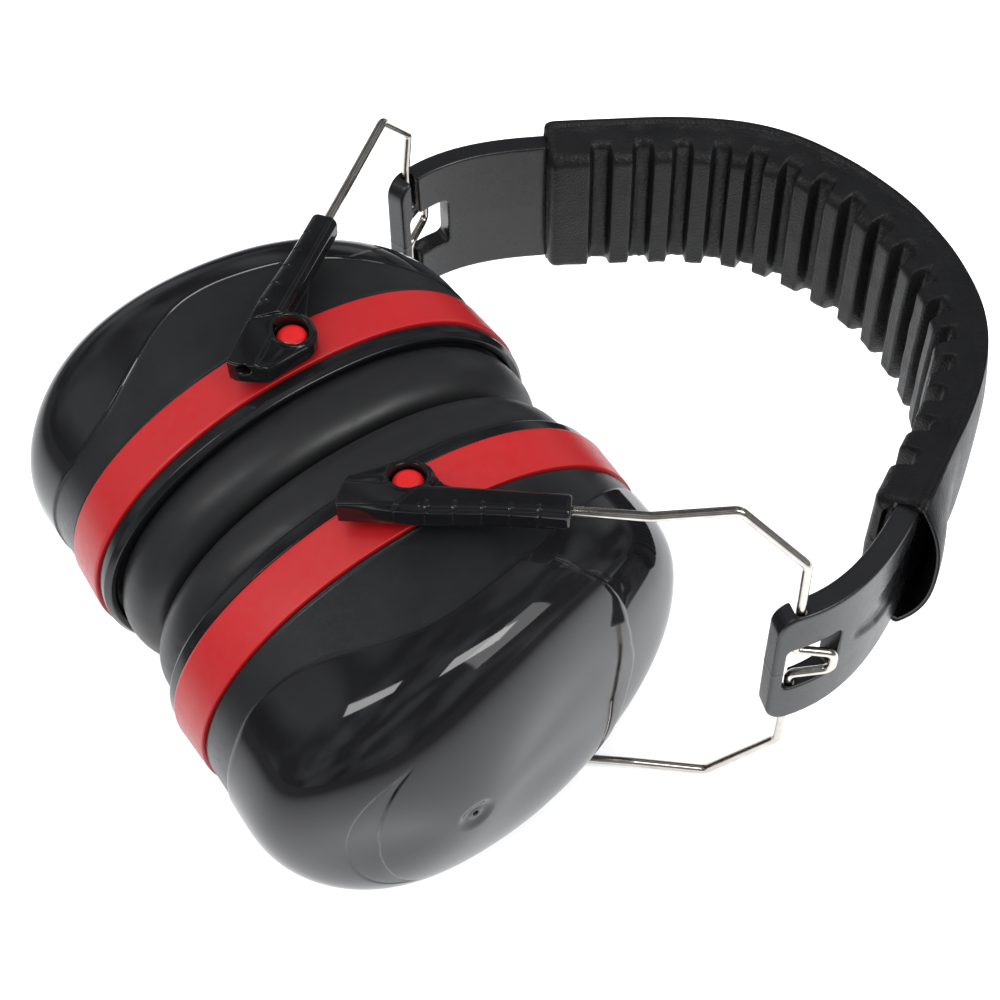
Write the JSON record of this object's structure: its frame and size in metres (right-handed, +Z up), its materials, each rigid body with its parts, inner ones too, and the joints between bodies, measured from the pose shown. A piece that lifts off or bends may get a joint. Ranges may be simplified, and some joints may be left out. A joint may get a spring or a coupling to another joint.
{
  "type": "hearing protection earmuffs",
  "caption": "Over-the-head hearing protection earmuffs lying on their side: deep ear cups on sprung wire arms and a padded, ribbed headband.",
  "frame": {"origin": "bottom centre of the bounding box, earmuffs lying on their side", "axes": "+X from the left cup to the right cup, +Y from the cups towards the crown of the headband, +Z up from the table"},
  "size_m": [0.1688, 0.2142, 0.0991],
  "materials": {
    "gloss_black": "high-gloss black, softly mirroring",
    "satin_black": "satin black moulded plastic",
    "red_satin": "satin red moulded plastic",
    "red_gloss": "semi-gloss red",
    "spring_steel": "bright drawn wire",
    "leatherette": "fine-grained black leatherette",
    "cushion_skin": "smooth satin skin",
    "foam": "matt open-cell foam"
  },
  "bodies": {
    "headband": {"headband_strap": "satin_black", "pad_outer_cover": "leatherette", "pad_ribbed_cover": "leatherette", "pad_foam_core": "foam"},
    "wire_right": {"spring_wire_right": "spring_steel"},
    "arm_front_right": {"slider_arm_front_right": "gloss_black"},
    "arm_rear_right": {"slider_arm_rear_right": "gloss_black"},
    "cup_right": {"cup_shell_right": "gloss_black", "cup_ring_right": "red_satin", "cushion_plate_right": "gloss_black", "ear_cushion_right": "cushion_skin", "acoustic_foam_right": "foam", "pivot_pin_front_right": "red_gloss", "pivot_pin_rear_right": "red_gloss"},
    "wire_left": {"spring_wire_left": "spring_steel"},
    "arm_front_left": {"slider_arm_front_left": "gloss_black"},
    "arm_rear_left": {"slider_arm_rear_left": "gloss_black"},
    "cup_left": {"cup_shell_left": "gloss_black", "cup_ring_left": "red_satin", "cushion_plate_left": "gloss_black", "ear_cushion_left": "cushion_skin", "acoustic_foam_left": "foam", "pivot_pin_front_left": "red_gloss", "pivot_pin_rear_left": "red_gloss"}
  },
  "joints": [
    {"name": "swing_right", "type": "hinge", "parent": "headband", "child": "wire_right", "pos_m": [0.0786, 0.00975, 0.04956], "axis": [0, 0, 1], "range_deg": [0, 45]},
    {"name": "height_front_right", "type": "slide", "parent": "wire_right", "child": "arm_front_right", "axis": [0.6209, 0.7839, 0], "range_m": [0, 0.015]},
    {"name": "height_rear_right", "type": "slide", "parent": "wire_right", "child": "arm_rear_right", "axis": [0.6209, 0.7839, 0], "range_m": [0, 0.015]},
    {"name": "tilt_right", "type": "hinge", "parent": "arm_front_right", "child": "cup_right", "pos_m": [0.0239, -0.05045, 0.09356], "axis": [0, 0, -1], "range_deg": [-15, 15], "deforming": ["ear_cushion_right"]},
    {"name": "swing_left", "type": "hinge", "parent": "headband", "child": "wire_left", "pos_m": [-0.0786, 0.00975, 0.04956], "axis": [0, 0, -1], "range_deg": [0, 45]},
    {"name": "height_front_left", "type": "slide", "parent": "wire_left", "child": "arm_front_left", "axis": [-0.6209, 0.7839, 0], "range_m": [0, 0.015]},
    {"name": "height_rear_left", "type": "slide", "parent": "wire_left", "child": "arm_rear_left", "axis": [-0.6209, 0.7839, 0], "range_m": [0, 0.015]},
    {"name": "tilt_left", "type": "hinge", "parent": "arm_front_left", "child": "cup_left", "pos_m": [-0.0239, -0.05045, 0.09356], "axis": [0, 0, 1], "range_deg": [-15, 15], "deforming": ["ear_cushion_left"]}
  ],
  "couplings": [
    {"joint": "height_rear_right", "follows": "height_front_right", "ratio": 1},
    {"joint": "height_rear_left", "follows": "height_front_left", "ratio": 1}
  ]
}
